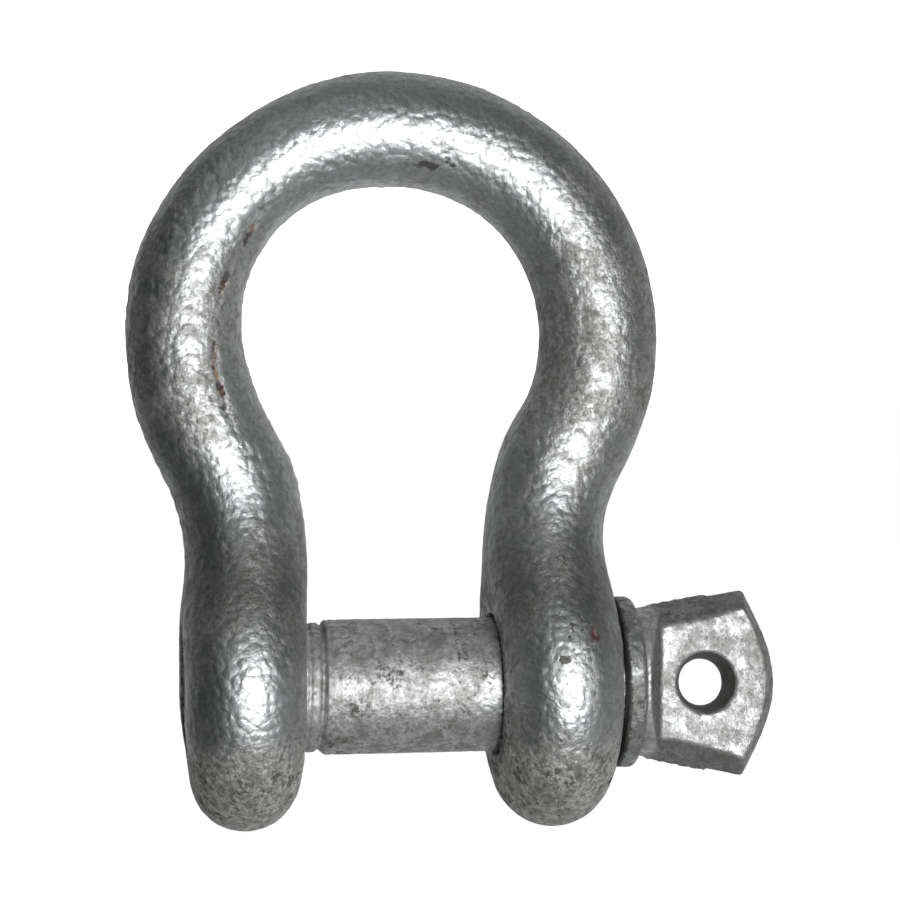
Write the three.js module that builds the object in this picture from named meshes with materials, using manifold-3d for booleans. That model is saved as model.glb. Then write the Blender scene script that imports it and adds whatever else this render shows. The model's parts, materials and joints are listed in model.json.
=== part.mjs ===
// A bow shackle (anchor shackle) with a screw pin, for 3/4 in bar. Millimetres, +Z up.
//
// Frame: the origin is the load-bearing point on the inside of the crown. +X runs along the pin
// towards its head, +Z up through the crown, and the bow lies in the XZ plane.
//
// Pieces: the forged bow with a threaded ear (-X) and a plain ear (+X), the screw pin with its
// forged eye, and the collar between the plain ear and the eye's neck.

import * as THREE from 'three';
import { mergeVertices } from 'three/addons/utils/BufferGeometryUtils.js';
import Module from 'manifold-3d';

const wasm = await Module();
wasm.setup();

// Bow
const BAR_D = 19.5; // round bar of the bow
const CROWN_R = 34.8; // crown arc, to the bar's centre line
const CROWN_X = -0.2; // the crown was forged this far off the middle of the jaw
const CROWN_OVERRUN = THREE.MathUtils.degToRad(29); // how far each end of the crown arc runs below its middle
const INSIDE_LENGTH = 71.5; // inside of the crown to the pin
const JAW = 32.4; // clear gap between the ears
const EAR_D = 48;
const EAR_T = 19.4;
const LEG_X = 25.6; // centre line of a leg where it meets its ear
const PLAIN_BORE_R = 11.9;

// Pin
const PIN_D = 22.4;
const PITCH = 2.822; // 9 threads to the inch
const THREAD_MAJOR_R = 10.85;
const THREAD_MINOR_R = 9.55;
const CREST_W = 0.35; // flat on top of the thread
const THREAD_CLEARANCE = 0.3; // between the pin's thread and the ear's, on each flank, crest and root
const THREAD_FADE = 0.5; // turns over which the pin's thread rises at its start, and sinks at its end
const THREAD_END_SHARE = 0.2; // share of the ridge's height that is left at both ends
const THREAD_RUNOUT = 4.6; // how far the thread shows inside the jaw
const TIP_INSET = 1; // the pin's end lies this far inside the ear's outer face
const GAP = 0.3; // between pieces that touch

// Collar and head
const COLLAR_D = 29;
const COLLAR_T = 3.2;
const COLLAR_STANDOFF = 1; // the pin is not screwed home: the collar stands this far off the ear
const NECK_D = 24.7;
const SHOULDER_START = 0.4; // end of the round neck, from the collar
const HEAD_ROOT = 1; // start of the head's sloping sides, from the collar
const FLAT_START = 4.8; // start of the head's flats, from the collar
const HEAD_L = 25.2; // collar to the end of the head
const HEAD_TILT = THREE.MathUtils.degToRad(1.6); // the head was forged leaning a little towards -Z
const HEAD_TURN = THREE.MathUtils.degToRad(6.5); // where the pin stopped: its front flat faces up a little
const HEAD_T = 9.6; // over the flats
const PARTING_W = 1; // flat band round the head, where the forging dies met
const DRAFT = 2.5; // how far the head's sides slope out, from flat to parting band
const ROOT_H = 10.4; // half height of a flat at the neck
const TIP_H = 12.9; // half height of a flat at its outer corners
const END_R = 23.5; // round end of the head
const EYE_X = 12.3; // centre of the eye, from the collar
const EYE_RIM_R = 5.15;
const EYE_THROAT_R = 3.95;

// Smoothness
const BAR_SIDES = 20;
const BOW_STEPS = 56;
const ROUND_SIDES = 40;
const RIM_STEPS = 4; // quarter of a rounded rim
const THREAD_STEPS = 16; // to a turn

// Places that follow from the sizes above
const PIN_Z = -(INSIDE_LENGTH + PIN_D / 2);
const CROWN_Z = -(CROWN_R - BAR_D / 2);
const EAR_X = (JAW + EAR_T) / 2;
const EAR_OUTER_X = JAW / 2 + EAR_T;
const TIP_X = -(EAR_OUTER_X - TIP_INSET);
const THREAD_START_X = TIP_X + PITCH / 2;
const RUNOUT_X = THREAD_RUNOUT - JAW / 2;
const COLLAR_X = EAR_OUTER_X + COLLAR_STANDOFF;
const HEAD_X = COLLAR_X + COLLAR_T;

// ---------------------------------------------------------------- solids

// A closed geometry as a solid that can be joined and cut.
function solid(geometry) {
  const bare = geometry.clone();
  bare.deleteAttribute('normal');
  bare.deleteAttribute('uv');
  const merged = mergeVertices(bare, 1e-4);
  const triVerts = [];
  for (let i = 0; i < merged.index.count; i += 3) {
    const [a, b, c] = [0, 1, 2].map((k) => merged.index.getX(i + k));
    if (a !== b && b !== c && c !== a) triVerts.push(a, b, c);
  }
  return new wasm.Manifold(new wasm.Mesh({
    numProp: 3,
    vertProperties: new Float32Array(merged.attributes.position.array),
    triVerts: new Uint32Array(triVerts),
  }));
}

// A solid as a named mesh.
function piece(name, body, material) {
  const mesh = body.getMesh();
  const geometry = new THREE.BufferGeometry();
  geometry.setAttribute('position', new THREE.BufferAttribute(new Float32Array(mesh.vertProperties), 3));
  geometry.setIndex(new THREE.BufferAttribute(new Uint32Array(mesh.triVerts), 1));
  geometry.computeVertexNormals();
  const object = new THREE.Mesh(geometry, material);
  object.name = name;
  return object;
}

// A profile of [x, radius] points, listed towards +X, turned about the pin's axis.
function turned(profile) {
  const points = profile.map(([x, radius]) => new THREE.Vector2(radius, x));
  const geometry = new THREE.LatheGeometry(points, ROUND_SIDES);
  geometry.rotateZ(-Math.PI / 2);
  geometry.translate(0, 0, PIN_Z);
  return solid(geometry);
}

// A plain cylinder about the pin's axis.
function rod(x0, x1, radius) {
  return turned([[x0, 0], [x0, radius], [x1, radius], [x1, 0]]);
}

// Stands a flat path up in the XZ plane, so that a section can be swept along it.
class UprightCurve extends THREE.Curve {
  constructor(path) {
    super();
    this.path = path;
  }

  getPoint(t) {
    const p = this.path.getPoint(t);
    return new THREE.Vector3(p.x, 0, p.y);
  }
}

// ---------------------------------------------------------------- thread

// One ridge of the thread, wound about the pin's axis as a right-hand helix: a straight bar whose
// section is drawn as [along the axis, radius] and whose length counts turns, bent round. `grow`
// widens it on every side, which makes the cutter for the ear. `rise(turn)` is the share of the
// ridge's height that stands at a turn.
function threadRidge(xStart, turns, grow, rise) {
  const flank = (THREAD_MAJOR_R - THREAD_MINOR_R) * Math.tan(Math.PI / 6);
  const crest = CREST_W / 2 + grow;
  const root = crest + flank;
  const foot = THREAD_MINOR_R - GAP;
  const top = THREAD_MAJOR_R + grow;
  const section = new THREE.Shape([
    new THREE.Vector2(-root, foot),
    new THREE.Vector2(root, foot),
    new THREE.Vector2(root, THREAD_MINOR_R),
    new THREE.Vector2(crest, top),
    new THREE.Vector2(-crest, top),
    new THREE.Vector2(-root, THREAD_MINOR_R),
  ]);
  const bar = new THREE.ExtrudeGeometry(section, {
    depth: turns,
    steps: Math.round(turns * THREAD_STEPS),
    bevelEnabled: false,
  });
  const place = bar.attributes.position;
  for (let i = 0; i < place.count; i += 1) {
    const turn = place.getZ(i);
    const radius = foot + (place.getY(i) - foot) * rise(turn);
    const angle = 2 * Math.PI * turn;
    place.setXYZ(
      i,
      xStart + place.getX(i) + PITCH * turn,
      radius * Math.cos(angle),
      PIN_Z + radius * Math.sin(angle),
    );
  }
  return solid(bar);
}

function maleThread() {
  const turns = (RUNOUT_X - THREAD_START_X) / PITCH;
  const rise = (turn) => {
    const fromEnd = Math.min(turn, turns - turn);
    return Math.max(THREAD_END_SHARE, Math.min(1, fromEnd / THREAD_FADE));
  };
  return threadRidge(THREAD_START_X, turns, 0, rise);
}

// What the ear's thread takes away: its bore, and a groove in step with the pin's ridge that runs
// out past both faces of the ear.
function femaleThread() {
  const before = 2;
  const turns = Math.ceil(EAR_T / PITCH) + 2 * before;
  const bore = rod(-EAR_OUTER_X - 1, -JAW / 2 + 1, THREAD_MINOR_R + THREAD_CLEARANCE);
  return bore.add(threadRidge(THREAD_START_X - before * PITCH, turns, THREAD_CLEARANCE, () => 1));
}

// ---------------------------------------------------------------- bow

// The arc that takes the crown into a leg, bending the other way: its centre and radius.
function legBend(side) {
  const fromCrown = LEG_X - side * CROWN_X;
  const cosine = Math.cos(CROWN_OVERRUN);
  const radius = (CROWN_R * cosine - fromCrown) / (1 - cosine);
  return {
    radius,
    x: side * (LEG_X + radius),
    z: CROWN_Z - (CROWN_R + radius) * Math.sin(CROWN_OVERRUN),
  };
}

// Centre line of the bar: up the left leg, round the crown and down the right leg.
function bowLine() {
  const lean = CROWN_OVERRUN;
  const left = legBend(-1);
  const right = legBend(1);
  const path = new THREE.Path();
  path.moveTo(-LEG_X, PIN_Z);
  path.lineTo(-LEG_X, left.z);
  path.absarc(left.x, left.z, left.radius, 0, lean, false);
  path.absarc(CROWN_X, CROWN_Z, CROWN_R, Math.PI + lean, -lean, true);
  path.absarc(right.x, right.z, right.radius, Math.PI - lean, Math.PI, false);
  path.lineTo(LEG_X, PIN_Z);
  return new UprightCurve(path);
}

function bowBar() {
  const section = new THREE.Shape();
  section.absarc(0, 0, BAR_D / 2, 0, 2 * Math.PI, false);
  return solid(new THREE.ExtrudeGeometry(section, {
    curveSegments: BAR_SIDES,
    steps: BOW_STEPS,
    bevelEnabled: false,
    extrudePath: bowLine(),
  }));
}

// A round ear about the pin's axis, whose rim is a full half round.
function ear(side) {
  const rimR = EAR_T / 2;
  const rimCentre = EAR_D / 2 - rimR;
  const middle = side * EAR_X;
  const profile = [[middle - rimR, 0]];
  for (let i = 0; i <= 2 * RIM_STEPS; i += 1) {
    const angle = (Math.PI * i) / (2 * RIM_STEPS);
    profile.push([middle - rimR * Math.cos(angle), rimCentre + rimR * Math.sin(angle)]);
  }
  profile.push([middle + rimR, 0]);
  return turned(profile);
}

function bow() {
  const plainBore = rod(JAW / 2 - 1, EAR_OUTER_X + 1, PLAIN_BORE_R);
  return bowBar().add(ear(-1)).add(ear(1)).subtract(plainBore).subtract(femaleThread());
}

// ---------------------------------------------------------------- pin

// Shank, thread core and neck, from the pin's end to the neck.
function pinShaft() {
  const coreR = THREAD_MINOR_R;
  const shankR = PIN_D / 2;
  const neckR = NECK_D / 2;
  const neckX = HEAD_X + GAP;
  return turned([
    [TIP_X, 0],
    [TIP_X, coreR - 1],
    [TIP_X + 1, coreR],
    [RUNOUT_X - 1, coreR],
    [RUNOUT_X + 0.6, shankR],
    [neckX, shankR],
    [neckX, neckR],
    [HEAD_X + EYE_X, neckR],
    [HEAD_X + EYE_X, 0],
  ]);
}

// Puts a shape that was drawn from the collar's outer face, along the pin's axis, where it belongs.
function placedOnPin(geometry) {
  geometry.rotateX(-HEAD_TURN);
  geometry.translate(HEAD_X, 0, PIN_Z);
  return solid(geometry);
}

// The space that the round neck may fill, seen from above: full width at the collar, narrowing to
// the thickness of the head, from which it is cut by two sloping shoulders.
function shoulders() {
  const half = HEAD_T / 2;
  const tipX = TIP_X - HEAD_X - 1;
  const outline = new THREE.Shape([
    new THREE.Vector2(tipX, -PIN_D),
    new THREE.Vector2(SHOULDER_START, -PIN_D),
    new THREE.Vector2(SHOULDER_START, -NECK_D / 2),
    new THREE.Vector2(FLAT_START, -half),
    new THREE.Vector2(FLAT_START + 1, -half),
    new THREE.Vector2(FLAT_START + 1, half),
    new THREE.Vector2(FLAT_START, half),
    new THREE.Vector2(SHOULDER_START, NECK_D / 2),
    new THREE.Vector2(SHOULDER_START, PIN_D),
    new THREE.Vector2(tipX, PIN_D),
  ]);
  const block = new THREE.ExtrudeGeometry(outline, { depth: 2 * PIN_D, bevelEnabled: false });
  block.translate(0, 0, -PIN_D);
  return placedOnPin(block);
}

// The flat forged head: a fan whose sides slope out to the parting band from both flats.
function headPlate() {
  const flatEnd = HEAD_L - DRAFT;
  const endR = END_R - DRAFT;
  const corner = Math.asin(TIP_H / endR);
  const outline = new THREE.Shape();
  outline.moveTo(HEAD_ROOT + DRAFT, -ROOT_H);
  outline.lineTo(FLAT_START, -ROOT_H);
  outline.absarc(flatEnd - endR, 0, endR, -corner, corner, false);
  outline.lineTo(FLAT_START, ROOT_H);
  outline.lineTo(HEAD_ROOT + DRAFT, ROOT_H);
  const plate = new THREE.ExtrudeGeometry(outline, {
    curveSegments: 16,
    depth: PARTING_W,
    bevelEnabled: true,
    bevelThickness: (HEAD_T - PARTING_W) / 2,
    bevelSize: DRAFT,
    bevelSegments: 1,
  });
  plate.translate(0, 0, -PARTING_W / 2);
  plate.rotateX(Math.PI / 2);
  plate.rotateY(HEAD_TILT);
  return placedOnPin(plate);
}

// The eye's hole through the flats, narrowest at the parting band.
function eyeHole() {
  const deep = HEAD_T;
  const wide = EYE_THROAT_R + (EYE_RIM_R - EYE_THROAT_R) * (deep / (HEAD_T / 2));
  const profile = [[0, -deep], [wide, -deep], [EYE_THROAT_R, 0], [wide, deep], [0, deep]];
  const points = profile.map(([radius, y]) => new THREE.Vector2(radius, y));
  const hole = new THREE.LatheGeometry(points, ROUND_SIDES / 2);
  hole.translate(EYE_X, 0, 0);
  return placedOnPin(hole);
}

function screwPin() {
  return pinShaft().intersect(shoulders()).add(headPlate()).add(maleThread()).subtract(eyeHole());
}

// The collar: a flat ring on the shank with slightly rounded edges.
function collar() {
  const edge = 0.4;
  const outerR = COLLAR_D / 2;
  const ring = turned([
    [COLLAR_X, 0],
    [COLLAR_X, outerR - edge],
    [COLLAR_X + edge, outerR],
    [COLLAR_X + COLLAR_T - edge, outerR],
    [COLLAR_X + COLLAR_T, outerR - edge],
    [COLLAR_X + COLLAR_T, 0],
  ]);
  return ring.subtract(rod(COLLAR_X - 1, COLLAR_X + COLLAR_T + 1, PIN_D / 2 + GAP));
}

// ---------------------------------------------------------------- assembly

// Hot-dip galvanised steel, each piece a little different.
function zinc(color, roughness) {
  return new THREE.MeshStandardMaterial({ color, roughness, metalness: 0.9 });
}

const shackle = new THREE.Group();
shackle.add(piece('bow', bow(), zinc(0x9a9c9b, 0.5)));
shackle.add(piece('pin_collar', collar(), zinc(0xa3a5a4, 0.45)));
shackle.add(piece('screw_pin', screwPin(), zinc(0xa8aaa9, 0.42)));

export default shackle;
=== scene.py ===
"""A hot-dip galvanised bow shackle with a screw pin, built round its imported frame.

Each of the three pieces is modelled as a distance function in millimetres, meshed, and given the
lumps, pits and trimmed flash of a forging that has been dipped in zinc.
"""

import json
import math

import bpy
import numpy as np
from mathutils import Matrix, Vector, noise

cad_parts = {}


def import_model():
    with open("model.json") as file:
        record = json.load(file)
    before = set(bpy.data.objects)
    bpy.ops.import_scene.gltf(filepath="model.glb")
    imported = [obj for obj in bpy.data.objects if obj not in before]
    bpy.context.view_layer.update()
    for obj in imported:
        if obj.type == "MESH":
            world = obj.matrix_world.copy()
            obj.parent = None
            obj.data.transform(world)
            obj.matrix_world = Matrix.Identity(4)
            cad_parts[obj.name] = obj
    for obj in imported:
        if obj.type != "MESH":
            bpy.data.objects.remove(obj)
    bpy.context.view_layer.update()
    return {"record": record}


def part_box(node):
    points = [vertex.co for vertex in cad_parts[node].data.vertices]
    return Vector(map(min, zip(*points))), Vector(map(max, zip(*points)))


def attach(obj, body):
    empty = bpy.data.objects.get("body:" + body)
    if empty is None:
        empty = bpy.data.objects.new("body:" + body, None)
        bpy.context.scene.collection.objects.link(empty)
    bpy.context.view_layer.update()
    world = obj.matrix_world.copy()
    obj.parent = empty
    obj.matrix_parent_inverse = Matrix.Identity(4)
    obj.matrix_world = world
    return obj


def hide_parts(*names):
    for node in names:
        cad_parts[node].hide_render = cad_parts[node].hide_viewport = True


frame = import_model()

MM = 0.001  # one millimetre in scene units

# ------------------------------------------------------------------ sizes from the frame, in mm

RECORD = frame["record"]
JOINTS = {j["name"]: j for j in RECORD["behaviour"]["joints"]}
MOUNTS = {m["name"]: m for m in RECORD["mounts"]}
COUPLING = RECORD["behaviour"]["couplings"][0]


def box_mm(node):
    low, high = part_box(node)
    return np.array(low) / MM, np.array(high) / MM


BOW_LOW, BOW_HIGH = box_mm("bow")
PIN_LOW, PIN_HIGH = box_mm("screw_pin")
COLLAR_LOW, COLLAR_HIGH = box_mm("pin_collar")

SKIN = 0.12  # the smooth shapes lie this far inside the CAD box, to leave room for the lumps
GAP = 0.3  # between pieces that touch

PIN_Z = JOINTS["pin_turn"]["pos_m"][2] / MM
PITCH = COUPLING["ratio"] * 2 * math.pi / MM
BAR_R = BOW_HIGH[2] / 2 - SKIN
CROWN_X = (BOW_LOW[0] + BOW_HIGH[0]) / 2
CROWN_R = (BOW_HIGH[0] - BOW_LOW[0] - BOW_HIGH[2]) / 2
CROWN_Z = -(CROWN_R - BOW_HIGH[2] / 2)
EAR_R = PIN_Z - BOW_LOW[2] - SKIN
EAR_IN_X = MOUNTS["plain_ear_jaw_face"]["pos_m"][0] / MM
EAR_THICK = 19.4
EAR_OUT_X = EAR_IN_X + EAR_THICK
EAR_X = (EAR_IN_X + EAR_OUT_X) / 2
RIM_R = EAR_THICK / 2

# Bow
LEAN = math.radians(30)  # how far each end of the crown's arc runs below its middle
LEG_X = 25.2
LEG_R = 10.1
# between which heights above the bend's foot the bar takes the leg's radius, and between which
# heights above the pin's axis the leg takes that of the ear's rim
LEG_TAPER = (34, 6)
RIM_TAPER = (20, 2)
LEG_LANDS = 8  # how far above the pin's axis the leg has come into line with the ear
FILLET = 15.0  # blend between leg and ear
THREADED_EAR_LESS = 0.5  # how much smaller the threaded ear's radius is
PLAIN_BORE_R = 11.9
MOUTH_R = 0.6  # rounding of the bores' mouths
# where the bar is thinner on the loop's inside, and where it stands out on the loop's outside:
# millimetres, direction from the crown's middle in degrees, spread in degrees
THINNER = ((1.5, 143, 33), (0.3, 118, 18), (0.2, 95, 30), (0.35, 52, 30),
           (-0.55, -8, 48), (-0.7, -42, 18), (-0.5, 198, 14), (-0.6, 230, 9))
PROUD = ((0.35, 161, 14), (-0.2, 124, 12), (0.2, 97, 8), (-0.15, 57, 14), (-0.4, 211, 9), (-0.35, -24, 9))
EAR_SHIFT = (-0.5, 0.1)  # how far outward the bottoms of the left and right ears lie
EAR_DRAFT = (0.8, 0.35)  # how much thinner they are there
DRAFT_Z = (3, 17)  # how far below the pin's axis the draft begins and is full
# the forging lap: how far inward of the bar's centre line, direction from the crown's middle, spread
LAP_IN = 4.4
LAP_TOWARD = 168
LAP_SPREAD = 38

# Pin
SHANK_R = 11.2
THREAD_MAJOR_R = 10.85
THREAD_MINOR_R = 9.55
CREST_HALF = 0.175  # half width of the thread's crest
FLANK = 0.75  # width of each of its flanks
CLEARANCE = 0.3  # between the pin's thread and the ear's
# what the cutting tool left round the shank beside the thread: x, depth, half width
TOOL_MARKS = ((-15.3, 0.28, 0.28), (-13.1, 0.55, 0.42), (-12.0, 0.14, 0.2), (-10.6, 0.1, 0.2))
MARK_LEAN = 0.035  # the marks stand askew
RUNOUT_R = 10.75  # the turned neck between thread and shank
RUNOUT_START = (-EAR_IN_X - 0.6, -EAR_IN_X + 0.2)  # where the thread gives way to it
RUNOUT_END = (-12.9, -12.3)  # where it gives way to the shank
RINGS_X = (9.1, 12.3)  # two fine turned rings on the shank
TIP_CHAMFER = 1.0

# Head, measured along X from the collar's outer face, on axes that lean and turn with it
HEAD_X = COLLAR_HIGH[0]
HEAD_TURN = math.radians(6.5)
HEAD_TILT = math.radians(1.6)
NECK_R = 12.2
NECK_OVERLAP = 0.6  # how far the shank reaches into the neck
HEAD_START = 1.2
BAND_H = 12.05  # half height of the head at its start, on the band where the dies met
BAND_FLARE = 0.19  # how much that grows per millimetre
FLAT_H = 9.4  # half height of a flat up to FLARE_START
FLARE_START = 5
FLAT_FLARE = (0.10, 0.0105)  # how much that grows per millimetre, and per square of it
SHOULDER_START = 1.1
FLAT_START = 4.2
FLAT_HALF = 4.8
BAND_HALF = 0.5  # half width of that band
FLASH_START = (1.5, 3.5)  # where the flash on that band begins
FLASH_END = (12.9, 13.5)  # where it was trimmed off
HEAD_END = PIN_HIGH[0] - HEAD_X - SKIN
FLAT_END = HEAD_END - 2.2
END_CURVE = 0.0285  # the end falls back by this times the square of the height
END_EASE = 0.000025  # less of it towards the corners
EYE_X = 12.4
EYE_THROAT_R = 3.95
EYE_RIM_R = 5.2

# Stains on the front of the bow: x, z, half width and half height
SCAB = (29.4, -72.5, 0.9, 1.9)
SCAB_SPOT = (24.2, -76.0, 0.9, 0.6)
ROUND_SCAB = (27.0, -71.5, 4.0, 3.5)
CROWN_SPOT = (5.5, 4.0, 4.5, 1.4)


# ------------------------------------------------------------------ shaping tools

def step_between(value, start, end):
    """0 before start, 1 after end, smooth between them."""
    t = np.clip((value - start) / (end - start), 0, 1)
    return t * t * (3 - 2 * t)


def mix(a, b, share):
    return a + (b - a) * share


def join(a, b, blend):
    """The union of two distances, filleted over a length."""
    h = np.clip(blend - np.abs(a - b), 0, None) / blend
    return np.minimum(a, b) - h * h * blend / 4


def cut(a, b, blend):
    """What two distances share, with its edge rounded over a length."""
    return -join(-a, -b, blend)


def bell(value, middle, width):
    return np.exp(-(((value - middle) / width) ** 2))


# ------------------------------------------------------------------ the bow's shape

def bow_line(x, z):
    """Distance in the XZ plane to the bar's centre line, and the bar's radius there."""
    side = np.where(x < 0, -1, 1)
    out = side * (x - CROWN_X)
    leg_out = LEG_X - side * CROWN_X
    bend_r = (CROWN_R * math.cos(LEAN) - leg_out) / (1 - math.cos(LEAN))
    bend_x = (CROWN_R + bend_r) * math.cos(LEAN)
    bend_z = CROWN_Z - (CROWN_R + bend_r) * math.sin(LEAN)

    turn = np.degrees(np.arctan2(z - CROWN_Z, x - CROWN_X))
    turn = np.where(turn < -90, turn + 360, turn)
    thin = sum(amount * bell(turn, toward, spread) for amount, toward, spread in THINNER)
    proud = sum(amount * bell(turn, toward, spread) for amount, toward, spread in PROUD)

    angle = np.clip(np.arctan2(z - CROWN_Z, out), -LEAN, math.pi / 2)
    arc_r = CROWN_R + (thin + proud) / 2
    crown = np.hypot(out - arc_r * np.cos(angle), z - CROWN_Z - arc_r * np.sin(angle))

    around = np.arctan2(z - bend_z, out - bend_x) % (2 * math.pi)
    around = np.clip(around, math.pi - LEAN, math.pi)
    arc_r = bend_r - (thin + proud) / 2
    bend = np.hypot(out - bend_x - arc_r * np.cos(around), z - bend_z - arc_r * np.sin(around))

    draft = step_between(PIN_Z - z, *DRAFT_Z)
    ear_x = EAR_X - side * CROWN_X + draft * np.where(x < 0, *EAR_SHIFT)
    leg_x = mix(leg_out + (thin + proud) / 2, ear_x, step_between(-z, -bend_z, -PIN_Z - LEG_LANDS))
    leg = np.hypot(out - leg_x, np.maximum(z - bend_z, 0))

    radius = BAR_R + (proud - thin) / 2
    radius = mix(radius, LEG_R, step_between(bend_z - z, -LEG_TAPER[0], -LEG_TAPER[1]))
    radius = mix(radius, RIM_R, step_between(PIN_Z - z, -RIM_TAPER[0], -RIM_TAPER[1]))
    radius = radius - draft * np.where(x < 0, *EAR_DRAFT)
    return np.minimum(np.minimum(crown, bend), leg), radius


def thread_height(x, y, z, crest_half):
    """How much of the thread's full height stands here, from 0 at its root to 1 on its crest."""
    start = PIN_LOW[0] + PITCH / 2
    turns = (x - start) / PITCH - np.arctan2(z - PIN_Z, y) / (2 * math.pi)
    aside = np.abs(turns - np.round(turns)) * PITCH
    return np.clip((crest_half + FLANK - aside) / FLANK, 0, 1)


def bow_distance(x, y, z):
    from_line, radius = bow_line(x, z)
    from_axis = np.hypot(y, z - PIN_Z)
    ear_r = EAR_R - np.where(x < 0, THREADED_EAR_LESS, 0)
    disc = from_axis - (ear_r - radius)
    stem = np.hypot(y, np.minimum(z - PIN_Z, 0))
    aside = np.maximum(join(disc, stem, FILLET), 0)
    solid = np.hypot(from_line, aside) - radius

    groove = thread_height(x, y, z, CREST_HALF + CLEARANCE)
    height = THREAD_MAJOR_R - THREAD_MINOR_R
    threaded = THREAD_MINOR_R + CLEARANCE + height * groove
    bore = np.where(x > 0, PLAIN_BORE_R, threaded)
    return cut(solid, bore - from_axis, MOUTH_R)


# ------------------------------------------------------------------ the pin's shape

def on_head(x, y, z):
    """Along, across and up from the middle of the neck, on the head's own axes."""
    across = y * math.cos(HEAD_TURN) - (z - PIN_Z) * math.sin(HEAD_TURN)
    up = y * math.sin(HEAD_TURN) + (z - PIN_Z) * math.cos(HEAD_TURN)
    along = (x - HEAD_X) * math.cos(HEAD_TILT) - up * math.sin(HEAD_TILT)
    return along, across, (x - HEAD_X) * math.sin(HEAD_TILT) + up * math.cos(HEAD_TILT)


def shaft_distance(x, y, z):
    """Thread, shank and neck. The neck slopes down to the head's flats."""
    from_axis = np.hypot(y, z - PIN_Z)
    ridge = thread_height(x, y, z, CREST_HALF)
    thread_r = mix(THREAD_MINOR_R, THREAD_MAJOR_R, ridge)
    radius = mix(thread_r, RUNOUT_R, step_between(x, *RUNOUT_START))
    radius = mix(radius, SHANK_R, step_between(x, *RUNOUT_END))
    for mark_x, depth, half in TOOL_MARKS:
        radius = radius - depth * bell(x - MARK_LEAN * (z - PIN_Z), mark_x, half)
    radius = radius - np.maximum(PIN_LOW[0] + TIP_CHAMFER - x, 0)
    shank = cut(from_axis - radius, PIN_LOW[0] - x, 0.3)
    shank = cut(shank, x - HEAD_X - NECK_OVERLAP, 0.2)

    along, across, _ = on_head(x, y, z)
    narrowing = np.clip((along - SHOULDER_START) / (FLAT_START - SHOULDER_START), 0, 2)
    shoulder = mix(NECK_R, FLAT_HALF, narrowing)
    neck = cut(from_axis - NECK_R, (np.abs(across) - shoulder) * 0.5, 0.5)
    neck = cut(neck, HEAD_X + GAP - x, 0.5)
    return join(shank, neck, 0.1)


def head_distance(x, y, z):
    """The forged head: a fan whose sides slope out from both flats to the band where the dies met."""
    along, across, up = on_head(x, y, z)
    slope = np.maximum((np.abs(across) - BAND_HALF) / (FLAT_HALF - BAND_HALF), 0)
    band_h = BAND_H + BAND_FLARE * along
    past = np.maximum(along - FLARE_START, 0)
    flat_h = FLAT_H + FLAT_FLARE[0] * past + FLAT_FLARE[1] * past**2
    left = step_between(along, *FLASH_START) * (1 - step_between(along, *FLASH_END))
    ragged = np.sin(along * 3.1 + 2 * np.sign(up)) + np.sin(along * 7.3 + 1) * np.sin(along * 1.7)
    flash = bell(across, 0, 0.5) * left * (0.4 + 0.06 * ragged)
    sides = (np.abs(up) - mix(band_h, flat_h, slope) - flash) * 0.8

    fall = (END_CURVE - END_EASE * up**2) * up**2
    end = along - mix(HEAD_END, FLAT_END, slope) + fall
    end = end / np.sqrt(1.25 + (2 * END_CURVE * up) ** 2)

    plate = cut(cut(sides, end, 0.5), np.abs(across) - FLAT_HALF, 0.4)
    return cut(plate, HEAD_START - along, 0.5)


def pin_distance(x, y, z):
    solid = join(shaft_distance(x, y, z), head_distance(x, y, z), 0.8)
    along, across, up = on_head(x, y, z)
    eye_r = EYE_THROAT_R + (EYE_RIM_R - EYE_THROAT_R) * (np.abs(across) / FLAT_HALF) ** 1.6
    return cut(solid, (eye_r - np.hypot(along - EYE_X, up)) * 0.92, 0.5)


def collar_distance(x, y, z):
    from_axis = np.hypot(y, z - PIN_Z)
    middle = (COLLAR_LOW[0] + COLLAR_HIGH[0]) / 2
    half = (COLLAR_HIGH[0] - COLLAR_LOW[0]) / 2
    outer = (COLLAR_HIGH[2] - COLLAR_LOW[2]) / 2 - SKIN
    ring = cut(from_axis - outer, np.abs(x - middle) - half, 0.9)
    return cut(ring, SHANK_R + GAP - from_axis, 0.4)


# ------------------------------------------------------------------ meshing

def surface_net(distance, low, high, step):
    """Points and quads where a distance function is zero, from a grid of this step."""
    counts = np.ceil((high - low) / step).astype(int) + 1
    xs, ys, zs = (low[i] + step * np.arange(counts[i]) for i in range(3))
    grid_y, grid_z = np.meshgrid(ys, zs, indexing="ij")
    values = np.stack([distance(np.full_like(grid_y, x), grid_y, grid_z) for x in xs])
    inside = values < 0
    cells, crossings, rings = [], [], []
    for axis in range(3):
        first = [slice(None)] * 3
        second = [slice(None)] * 3
        first[axis], second[axis] = slice(0, -1), slice(1, None)
        first, second = tuple(first), tuple(second)
        at = np.argwhere(inside[first] != inside[second])
        before = values[first][tuple(at.T)]
        after = values[second][tuple(at.T)]
        place = at.astype(float)
        place[:, axis] += before / (before - after)
        b, c = (axis + 1) % 3, (axis + 2) % 3
        ring = []
        for back_b, back_c in ((1, 1), (0, 1), (0, 0), (1, 0)):
            cell = at.copy()
            cell[:, b] -= back_b
            cell[:, c] -= back_c
            number = np.ravel_multi_index(cell.T, counts)
            cells.append(number)
            crossings.append(place)
            ring.append(number)
        ring = np.stack(ring, axis=1)
        outward = before < 0
        rings.append(np.where(outward[:, None], ring, ring[:, ::-1]))
    names, index = np.unique(np.concatenate(cells), return_inverse=True)
    crossings = np.concatenate(crossings)
    share = np.bincount(index)
    points = np.stack([np.bincount(index, crossings[:, i]) / share for i in range(3)], axis=1)
    return low + points * step, np.searchsorted(names, np.concatenate(rings))


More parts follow.
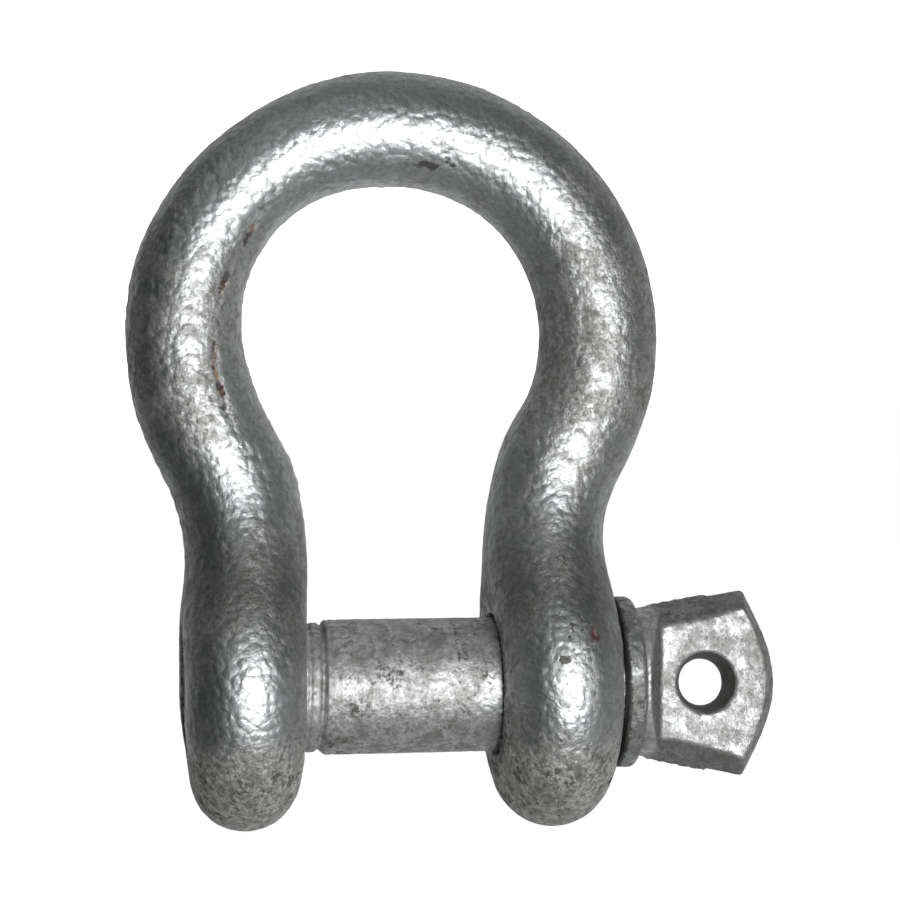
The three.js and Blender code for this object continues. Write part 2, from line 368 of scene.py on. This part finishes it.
def slope_of(distance, points):
    """The distance's gradient at each point."""
    reach = 0.03
    parts = []
    for axis in range(3):
        aside = np.zeros(3)
        aside[axis] = reach
        parts.append(distance(*(points + aside).T) - distance(*(points - aside).T))
    return np.stack(parts, axis=1) / (2 * reach)


def settle(distance, points, quads, step):
    """Evens the points out along the surface and brings them onto it."""
    edges = np.concatenate([quads[:, [0, 1]], quads[:, [1, 2]], quads[:, [2, 3]], quads[:, [3, 0]]])
    for even in (0.6, 0.6, 0.5, 0.0, 0.0):
        normal = slope_of(distance, points)
        size = np.maximum(np.linalg.norm(normal, axis=1), 0.2)
        if even:
            count = np.bincount(edges[:, 0], minlength=len(points))
            mean = np.stack(
                [np.bincount(edges[:, 0], points[edges[:, 1], i], len(points)) / count for i in range(3)],
                axis=1,
            )
            unit = normal / size[:, None]
            move = (mean - points) * even
            points = points + move - unit * np.sum(move * unit, axis=1)[:, None]
        off = distance(*points.T)
        move = normal * (off / size**2)[:, None]
        far = np.linalg.norm(move, axis=1)
        points = points - move * np.minimum(1, 0.5 * step / np.maximum(far, 1e-9))[:, None]
    return points


def waves(points, size, seed):
    """Smooth noise about this many millimetres across, from -1 to 1."""
    shifted = points / size + np.array([17.3, 5.1, 9.7]) * seed
    return np.fromiter((noise.noise(p) for p in shifted.tolist()), float, len(points))


def pits(points, where, count, smallest, largest, depth, seed):
    """Small craters at random places on a part of the surface."""
    rng = np.random.default_rng(seed)
    sunk = np.zeros(len(points))
    for centre in rng.choice(np.flatnonzero(where), count, replace=False):
        radius = rng.uniform(smallest, largest)
        away = np.linalg.norm(points - points[centre], axis=1) / radius
        sunk -= depth * rng.uniform(0.4, 1) * np.exp(-(away**2) * 1.5)
    return sunk


def mesh_piece(name, distance, low, high, step, relief, stains, node, body, material):
    """Makes a piece from its distance function and stands it in for its CAD node."""
    margin = 2 * step
    points, quads = surface_net(distance, low - margin, high + margin, step)
    points = settle(distance, points, quads, step)
    normal = slope_of(distance, points)
    normal /= np.maximum(np.linalg.norm(normal, axis=1), 1e-6)[:, None]
    stained = stains(points)
    points = points + normal * relief(points)[:, None]
    points = np.clip(points, low, high)
    mesh = bpy.data.meshes.new(name)
    mesh.from_pydata((points * MM).tolist(), [], quads.tolist())
    mesh.polygons.foreach_set("use_smooth", np.ones(len(quads), bool))
    mesh.update()
    for kind, amount in stained.items():
        mesh.attributes.new(kind, "FLOAT", "POINT").data.foreach_set("value", np.clip(amount, 0, 1))
    piece = bpy.data.objects.new(name, mesh)
    bpy.context.scene.collection.objects.link(piece)
    mesh.materials.append(material)
    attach(piece, body)
    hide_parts(node)
    return piece


# ------------------------------------------------------------------ relief

def lumps(points, size, seed):
    """Rounded lumps with creases between them, about this far apart, from -0.5 to 0.5."""
    return 2 * np.abs(waves(points, size, seed)) - 0.5


def along_bar(points):
    """How far inward of the bar's centre line each point is, and its direction from the crown's middle."""
    x, y, z = points.T
    turn = np.degrees(np.arctan2(z - CROWN_Z, x - CROWN_X)) % 360
    return CROWN_R - np.hypot(x - CROWN_X, z - CROWN_Z), turn


def lap(points):
    """A forging lap on the front of the bow's left side: up to 1 in its crease, 0 away from it."""
    inward, turn = along_bar(points)
    wander = 1.3 * waves(points, 8, 21)
    crease = bell(inward, LAP_IN + wander, 0.8) * np.clip(1.6 * bell(turn, LAP_TOWARD, LAP_SPREAD), 0, 1)
    return crease * np.clip(0.7 + 1.5 * waves(points, 4, 22), 0, 1) * (points[:, 1] < 0)


def ear_pits(points):
    """The deeper, dirtier pits under the ears."""
    return pits(points, points[:, 2] < PIN_Z - 7, 60, 0.35, 1.0, 0.3, 14)


def bow_relief(points):
    """Forging waves, the lumps of a thick zinc coat, pits, and the trimmed flash of the dies."""
    x, y, z = points.T
    from_line, _ = bow_line(x, z)
    _, turn = along_bar(points)
    from_axis = np.hypot(y, z - PIN_Z)
    open_skin = step_between(from_axis, PLAIN_BORE_R + 0.2, PLAIN_BORE_R + 2.5)
    relief = 0.08 * waves(points, 9, 1) + 0.05 * waves(points, 3.4, 2) + 0.06 * lumps(points, 2.0, 3)
    flash = bell(y, 0, 0.8) * step_between(from_line, 6, 9)
    rough = 0.6 + waves(points, 25, 9) + bell(turn, 68, 22)
    relief += flash * (0.04 + 0.22 * waves(points, 1.3, 4) * rough)
    relief += pits(points, z > PIN_Z, 130, 0.4, 0.9, 0.2, 11) + ear_pits(points)
    relief -= 0.16 * lap(points)
    return relief * open_skin


def rings(points, half):
    """1 on the shank's two turned rings, 0 away from them."""
    return sum(bell(points[:, 0], ring_x, half) for ring_x in RINGS_X)


def pin_relief(points):
    """The pin is smoother: it was turned before it was dipped. Its head keeps the forging's skin."""
    x, _, _ = points.T
    in_thread = 1 - step_between(x, -EAR_IN_X - 1, -EAR_IN_X)
    head = step_between(x, HEAD_X + 1, HEAD_X + 4)
    relief = mix(0.025, 0.06, head) * waves(points, 5, 5) + mix(0.03, 0.045, head) * waves(points, 1.3, 6)
    relief += pits(points, x > -EAR_IN_X, 120, 0.3, 0.7, 0.12, 12)
    relief -= 0.05 * rings(points, 0.3) * np.clip(waves(points, 9, 13) + 0.5, 0, 1)
    return relief * (1 - in_thread)


def collar_relief(points):
    return 0.05 * waves(points, 3, 7) + 0.04 * lumps(points, 1.2, 8)


# ------------------------------------------------------------------ stains and painted shade

def front_spot(points, x, z, width, height):
    """1 at a place on the front of the shackle, 0 away from it."""
    return bell(points[:, 0], x, width) * bell(points[:, 2], z, height) * (points[:, 1] < 0)


def bow_stains(points):
    """Rust in the lap and where the pin meets the threaded ear, scabs on the plain ear, and dirt; painted
    shade round the pin, in the threaded bore's mouth and behind the collar.
    """
    x, y, z = points.T
    from_axis = np.hypot(y, z - PIN_Z)
    _, turn = along_bar(points)
    in_lap = lap(points)
    at_mouth = bell(x, -EAR_IN_X, 0.5) * bell(from_axis, PLAIN_BORE_R - 0.6, 0.8)
    crease = at_mouth * step_between(z, PIN_Z, PIN_Z + 6) * (0.9 + waves(points, 1.0, 37))
    rust = np.maximum(in_lap * (0.9 + 1.8 * waves(points, 2.2, 31)), crease)

    scab = front_spot(points, *SCAB) * (1.4 + 1.6 * waves(points, 0.9, 32))
    spot = front_spot(points, *SCAB_SPOT) * (1.5 + 1.6 * waves(points, 0.8, 35))
    around = front_spot(points, *ROUND_SCAB) * (0.35 + 1.2 * waves(points, 1.1, 33))
    inside_top = front_spot(points, *CROWN_SPOT) * (0.5 + 1.4 * waves(points, 1.8, 34))
    # painted shade round the pin, on the ears' jaw sides
    by_pin = bell(from_axis, PLAIN_BORE_R + 1.5, 2.5) * (np.abs(x) < EAR_X) * 0.45
    low = step_between(-z, 84, 96)
    under = low * (0.1 + 0.5 * waves(points, 3.2, 36))
    in_bore = 1 - step_between(from_axis, PLAIN_BORE_R - 1.2, PLAIN_BORE_R - 0.4)
    # painted shade in the mouth of the threaded bore, on the threaded ear's outer face
    mouth = 0.8 * (x < -EAR_OUT_X + 0.5) * in_bore
    # painted shade on the plain ear's outer face round the bore, behind the collar
    behind_collar = (x > EAR_OUT_X - 1.2) * (1 - step_between(from_axis, 14.5, 16))
    in_crease = in_lap * (0.55 + 1.2 * waves(points, 1.8, 38))
    # dirt, rust and pits, together with the painted shade above, in one dark mask
    dirt_and_shade = np.maximum.reduce([scab, spot, around, inside_top, in_crease, under, by_pin, mouth,
                               behind_collar, -3.4 * ear_pits(points)])

    left = bell(turn, 180, 35)
    right = bell((turn + 180) % 360, 180, 40)
    rubbed = step_between(np.abs(y), 18, 22.5)
    ends = step_between(-z + 12 * waves(points, 9, 39), 42, 66) * (0.38 - 0.3 * rubbed)
    dull = np.maximum.reduce([low, 0.38 * left + 0.5 * right, ends])
    # painted shade: the bow's left and right sides and a band above the ears are darkened in the colour
    painted_shade = 0.12 * left + 0.28 * right + 0.65 * bell(z + 3 * waves(points, 7, 40), -65, 8)
    return {"rust": np.maximum(rust, 0.85 * scab), "dirt_and_shade": dirt_and_shade, "dull": dull, "painted_shade": painted_shade}


def pin_stains(points):
    """The pin is dull and speckled. Painted shade darkens the sides of its head, the slope before the flats,
    the flats, the shank, the eye, the rings' upper half, the tip and the line where the shank enters the
    plain ear.
    """
    x, y, z = points.T
    along, across, up = on_head(x, y, z)
    shank = 1 - step_between(x, EAR_OUT_X, HEAD_X)
    flat = step_between(np.abs(across), FLAT_HALF - 0.5, FLAT_HALF - 0.2) * (along > FLAT_START)
    sides = step_between(along, FLAT_START - 1.5, FLAT_START) * (1 - flat)
    # painted shade inside the head's eye
    in_eye = (np.hypot(along - EYE_X, up) < EYE_RIM_R + 0.3) * (1 - step_between(np.abs(across), 3.9, 4.7))
    specks = shank * (0.07 + 0.42 * waves(points, 3.0, 41))
    # painted shade in the turned rings' grooves, on their upper half
    in_rings = 0.4 * rings(points, 0.2) * step_between(z, PIN_Z - 1, PIN_Z + 2)
    # painted shade: a dark line where the shank enters the plain ear
    at_ear = 0.85 * bell(x, EAR_IN_X + 0.2, 0.35)
    # painted shade on the threaded tip, inside the bore
    end = 0.3 * step_between(-x, -PIN_LOW[0] - 0.8, -PIN_LOW[0] - 0.3)
    # painted shade on the slope before the flats
    slope = step_between(NECK_R - np.hypot(across, up), 0.1, 0.6) * (np.abs(up) < 9)
    slope *= (along > 0.5) & (along < FLAT_START)
    # painted shade, mottled, on the head's sides
    aside = sides * (0.2 + 0.3 * waves(points, 2.5, 42))
    # painted shade on the slope, the head's sides, the flats and the shank
    painted_shade = np.maximum.reduce([0.75 * slope, 0.6 * sides, 0.25 * flat, 0.1 * shank])
    # the specks are dirt; the rest is painted shade
    dirt_and_shade = np.maximum.reduce([in_eye, specks, in_rings, at_ear, end, aside])
    tan = 0.9 * bell(across, 0, 0.4) * step_between(along, 1, 3) * (np.abs(up) > EYE_RIM_R)
    dull = mix(0.7 - 0.02 * flat, 0.95 - 0.5 * step_between(x, 7, 16), shank)
    dull += 0.6 * flat * waves(points, 2.4, 43)
    return {"rust": tan, "dirt_and_shade": dirt_and_shade, "dull": dull, "painted_shade": painted_shade}


def collar_stains(points):
    """The collar is dull and patchy, with painted shade on its face against the ear."""
    # painted shade on the collar's face against the ear
    by_ear = 0.9 * bell(points[:, 0], COLLAR_LOW[0], 0.7)
    # patchy dirt, and the painted shade by the ear
    dirt_and_shade = np.maximum(0.15 + 0.5 * waves(points, 1.6, 44), by_ear)
    return {"dirt_and_shade": dirt_and_shade, "dull": 0.55 + waves(points, 2.4, 45)}


# ------------------------------------------------------------------ materials

SPOT_GREY = (0.145, 0.155, 0.15)
PATCH_GREY = (0.165, 0.17, 0.165)
CLOUD_GREY = (0.24, 0.24, 0.23)
# the colour of painted shade
PAINTED_SHADE_GREY = (0.07, 0.07, 0.065)
# dark grey for dirt and for painted shade
DIRT_AND_SHADE_GREY = (0.05, 0.045, 0.04)
PALE_RUST = (0.27, 0.14, 0.055)
CAKED_RUST = (0.07, 0.022, 0.013)


def new_material(name):
    material = bpy.data.materials.new(name)
    material.use_nodes = True
    return material


class Graph:
    """Short ways to add nodes to a material."""

    def __init__(self, material):
        self.nodes = material.node_tree.nodes
        self.links = material.node_tree.links
        self.place = self.nodes.new("ShaderNodeTexCoord").outputs["Object"]

    def put(self, value, socket):
        if isinstance(value, bpy.types.NodeSocket):
            self.links.new(value, socket)
        elif isinstance(value, tuple):
            socket.default_value = (*value, 1)
        else:
            socket.default_value = value

    def noise(self, size_mm, detail=2.0, rough=0.5, distortion=0.0):
        node = self.nodes.new("ShaderNodeTexNoise")
        node.inputs["Scale"].default_value = 1 / (size_mm * MM)
        node.inputs["Detail"].default_value = detail
        node.inputs["Roughness"].default_value = rough
        node.inputs["Distortion"].default_value = distortion
        self.put(self.place, node.inputs["Vector"])
        return node.outputs["Fac"]

    def cells(self, size_mm):
        """Rounded cells: 0 in the middle of each, rising to its edges."""
        node = self.nodes.new("ShaderNodeTexVoronoi")
        node.feature = "SMOOTH_F1"
        node.inputs["Smoothness"].default_value = 0.6
        node.inputs["Scale"].default_value = 1 / (size_mm * MM)
        self.put(self.place, node.inputs["Vector"])
        return node.outputs["Distance"]

    def painted(self, name):
        node = self.nodes.new("ShaderNodeAttribute")
        node.attribute_name = name
        return node.outputs["Fac"]

    def span(self, value, start, end, low=0.0, high=1.0):
        """Takes start..end to low..high, smoothly, and stops there."""
        node = self.nodes.new("ShaderNodeMapRange")
        node.interpolation_type = "SMOOTHSTEP"
        self.put(value, node.inputs["Value"])
        for name, number in (("From Min", start), ("From Max", end), ("To Min", low), ("To Max", high)):
            node.inputs[name].default_value = number
        return node.outputs["Result"]

    def sum(self, *terms):
        """Adds up (share, value) terms."""
        total = None
        for share, value in terms:
            node = self.nodes.new("ShaderNodeMath")
            node.operation = "MULTIPLY_ADD"
            self.put(value, node.inputs[0])
            node.inputs[1].default_value = share
            self.put(0.0 if total is None else total, node.inputs[2])
            total = node.outputs["Value"]
        return total

    def product(self, first, second):
        node = self.nodes.new("ShaderNodeMath")
        node.operation = "MULTIPLY"
        self.put(first, node.inputs[0])
        self.put(second, node.inputs[1])
        return node.outputs["Value"]

    def blend(self, share, first, second):
        node = self.nodes.new("ShaderNodeMix")
        node.data_type = "RGBA"
        self.put(share, node.inputs[0])
        self.put(first, node.inputs[6])
        self.put(second, node.inputs[7])
        return node.outputs[2]


def zinc(name, bright, matt, warmth, mottle, roughness, hammer, grain):
    """Hot-dip zinc: bright where it is rubbed, matt and mottled where it is dull.

    bright and matt are the two skins' colours, warmth tints the matt one, mottle darkens its spots,
    roughness is that of the bright skin, hammer is the height of all bumps, and grain that of the finest.
    """
    material = new_material(name)
    graph = Graph(material)
    shader = graph.nodes["Principled BSDF"]
    grit = graph.noise(0.17, 2, 0.6)
    fine = graph.noise(0.42, 3, 0.65)
    flecks = graph.noise(0.9, 4, 0.65)
    clouds = graph.noise(3.0, 5, 0.65, 0.4)
    patches = graph.noise(11, 3, 0.55)

    dull = graph.span(graph.sum((0.75, graph.painted("dull")), (1.1, clouds), (0.7, patches)), 0.95, 1.5)
    # dark: dirt from flecks and patches, and painted shade from the painted mask, which also lowers
    # metalness and sinks the bumps
    dark = graph.span(
        graph.sum((1.0, flecks), (0.10, dull), (0.25, patches), (0.55, graph.painted("dirt_and_shade"))), 0.82, 1.06
    )
    rust = graph.span(graph.sum((1.0, graph.painted("rust")), (1.1, fine), (0.6, flecks)), 1.4, 1.75)

    cool = (bright * 0.965, bright, bright * 1.015)
    warm = (matt * (1 + warmth), matt * (1 + warmth / 2), matt * (1 - 2 * warmth))
    color = graph.blend(dull, cool, warm)
    skin = graph.sum((0.65, dull), (0.35, 1.0))
    spots = graph.product(graph.span(fine, 0.4, 0.62, 0.0, 0.7 * mottle), skin)
    color = graph.blend(spots, color, SPOT_GREY)
    patchy = graph.product(graph.span(flecks, 0.42, 0.62, 0.0, mottle), skin)
    color = graph.blend(patchy, color, PATCH_GREY)
    cloudy = graph.product(graph.span(clouds, 0.42, 0.62, 0.0, 0.6), skin)
    color = graph.blend(cloudy, color, CLOUD_GREY)
    # painted shade: the colour darkens where the painted attribute marks shaded places
    color = graph.blend(graph.sum((0.75, graph.painted("painted_shade"))), color, PAINTED_SHADE_GREY)
    # dirt and painted shade darken the colour here
    color = graph.blend(graph.sum((0.88, dark)), color, DIRT_AND_SHADE_GREY)
    caked = graph.span(graph.sum((1.0, flecks), (0.25, graph.painted("dirt_and_shade"))), 0.45, 0.7)
    flaky = graph.blend(caked, PALE_RUST, CAKED_RUST)
    color = graph.blend(graph.sum((0.9, rust)), color, flaky)
    graph.put(color, shader.inputs["Base Color"])

    metal = graph.span(graph.sum((0.35, dull), (0.8, rust), (0.5, dark)), 0.0, 1.0, 1.0, 0.0)
    graph.put(metal, shader.inputs["Metallic"])
    graph.put(
        graph.sum((0.12, dull), (0.12, flecks), (0.12, clouds), (0.2, rust), (roughness, 1.0)),
        shader.inputs["Roughness"],
    )

    cells = graph.cells(1.25)
    height = graph.sum(
        (-0.7, graph.product(cells, cells)),
        (0.35, graph.noise(1.1, 2, 0.5, 0.2)),
        (grain, graph.product(fine, skin)),
        (0.4 * grain, graph.product(grit, skin)),
        (-0.2, dark),
    )
    bump = graph.nodes.new("ShaderNodeBump")
    bump.inputs["Strength"].default_value = hammer
    bump.inputs["Distance"].default_value = 0.3 * MM
    graph.put(height, bump.inputs["Height"])
    graph.put(bump.outputs["Normal"], shader.inputs["Normal"])
    return material


# ------------------------------------------------------------------ stage, light and camera

def stage():
    """A pale floor that the camera sees and the zinc doesn't mirror."""
    half = 6.0
    floor_z = (BOW_LOW[2] - 0.6) * MM
    mesh = bpy.data.meshes.new("floor")
    mesh.from_pydata([(-half, -half, floor_z), (half, -half, floor_z), (half, half, floor_z),
                      (-half, half, floor_z)], [], [(0, 1, 2, 3)])
    floor = bpy.data.objects.new("floor", mesh)
    bpy.context.scene.collection.objects.link(floor)
    floor.visible_diffuse = False
    floor.visible_glossy = False
    floor.visible_shadow = False
    material = new_material("floor_paper")
    shader = material.node_tree.nodes["Principled BSDF"]
    shader.inputs["Base Color"].default_value = (0.9, 0.9, 0.9, 1)
    shader.inputs["Roughness"].default_value = 1.0
    shader.inputs["Specular IOR Level"].default_value = 0.0
    shader.inputs["Emission Color"].default_value = (1, 1, 1, 1)
    shader.inputs["Emission Strength"].default_value = 0.84
    mesh.materials.append(material)


def area_light(name, azimuth, elevation, distance, size, power, target):
    """A square softbox, placed by the direction in which it stands from the target."""
    a, e = math.radians(azimuth), math.radians(elevation)
    toward = Vector((math.sin(a) * math.cos(e), -math.cos(a) * math.cos(e), math.sin(e)))
    data = bpy.data.lights.new(name, "AREA")
    data.size = size
    data.energy = power
    lamp = bpy.data.objects.new(name, data)
    lamp.location = target + toward * distance
    lamp.rotation_mode = "QUATERNION"
    lamp.rotation_quaternion = toward.to_track_quat("Z", "Y")
    lamp.visible_camera = False
    bpy.context.scene.collection.objects.link(lamp)
    return lamp


# the room's pale sides: direction, where each begins and is full (as a cosine), strength
GLOWS = (
    ((0.22, 1, 0.12), 0.1, 0.9, 0.47),
    ((0.5, 0, -0.85), -0.1, 0.95, 0.22),
    ((0, -0.3, 1), 0.5, 1.0, 0.12),
)
AMBIENT = 0.022


def world():
    """A dim room, paler behind the object, above it, and below it on its right. The camera sees it white."""
    made = bpy.data.worlds.new("studio")
    made.use_nodes = True
    bpy.context.scene.world = made
    nodes, links = made.node_tree.nodes, made.node_tree.links
    way = nodes.new("ShaderNodeTexCoord").outputs["Generated"]

    def glow(toward, start, end, strength):
        dot = nodes.new("ShaderNodeVectorMath")
        dot.operation = "DOT_PRODUCT"
        links.new(way, dot.inputs[0])
        dot.inputs[1].default_value = Vector(toward).normalized()
        node = nodes.new("ShaderNodeMapRange")
        node.interpolation_type = "SMOOTHSTEP"
        links.new(dot.outputs["Value"], node.inputs["Value"])
        for name, number in (("From Min", start), ("From Max", end), ("To Min", 0.0), ("To Max", strength)):
            node.inputs[name].default_value = number
        return node.outputs["Result"]

    total = None
    for light in [glow(*side) for side in GLOWS]:
        node = nodes.new("ShaderNodeMath")
        node.operation = "ADD"
        links.new(light, node.inputs[0])
        if total is None:
            node.inputs[1].default_value = AMBIENT
        else:
            links.new(total, node.inputs[1])
        total = node.outputs["Value"]
    seen = nodes.new("ShaderNodeLightPath").outputs["Is Camera Ray"]
    brighter = nodes.new("ShaderNodeMath")
    brighter.operation = "ADD"
    links.new(total, brighter.inputs[0])
    links.new(seen, brighter.inputs[1])
    links.new(brighter.outputs["Value"], nodes["Background"].inputs["Strength"])
    nodes["Background"].inputs["Color"].default_value = (1, 1, 1, 1)


def camera():
    """The photograph's viewing angle: level, a little to the left, through a long lens."""
    azimuth, elevation, distance = math.radians(-8.5), math.radians(1.8), 0.4015
    target = Vector((0.0091, 0, -0.0433))
    back = Vector((
        math.sin(azimuth) * math.cos(elevation),
        -math.cos(azimuth) * math.cos(elevation),
        math.sin(elevation),
    ))
    data = bpy.data.cameras.new("camera")
    data.sensor_width = 36
    data.lens = 96
    made = bpy.data.objects.new("camera", data)
    made.location = target + back * distance
    made.rotation_mode = "QUATERNION"
    made.rotation_quaternion = back.to_track_quat("Z", "Y")
    bpy.context.scene.collection.objects.link(made)
    bpy.context.scene.camera = made
    return target


# ------------------------------------------------------------------ the scene

target = camera()
world()
stage()
area_light("key", azimuth=6.6, elevation=-3.7, distance=0.404, size=0.115, power=1.25, target=target)
area_light("fill", azimuth=-40, elevation=50, distance=1.2, size=0.8, power=0.6, target=target)

COARSE = 1
mesh_piece(
    "bow_forging", bow_distance, BOW_LOW, BOW_HIGH, 0.57 * COARSE, bow_relief, bow_stains,
    "bow", "bow",
    zinc("bow_zinc", bright=0.69, matt=0.84, warmth=0.015, mottle=0.7, roughness=0.32,
         hammer=0.75, grain=0.75),
)
mesh_piece(
    "pin_forging", pin_distance, PIN_LOW, PIN_HIGH, 0.34 * COARSE, pin_relief, pin_stains,
    "screw_pin", "pin",
    zinc("pin_zinc", bright=0.68, matt=0.75, warmth=0.002, mottle=0.42, roughness=0.27,
         hammer=0.5, grain=0.7),
)
mesh_piece(
    "collar_ring", collar_distance, COLLAR_LOW, COLLAR_HIGH, 0.26 * COARSE, collar_relief, collar_stains,
    "pin_collar", "collar",
    zinc("collar_zinc", bright=0.56, matt=0.48, warmth=0.005, mottle=0.6, roughness=0.32,
         hammer=0.8, grain=0.8),
)

bpy.context.scene.view_settings.view_transform = "Standard"
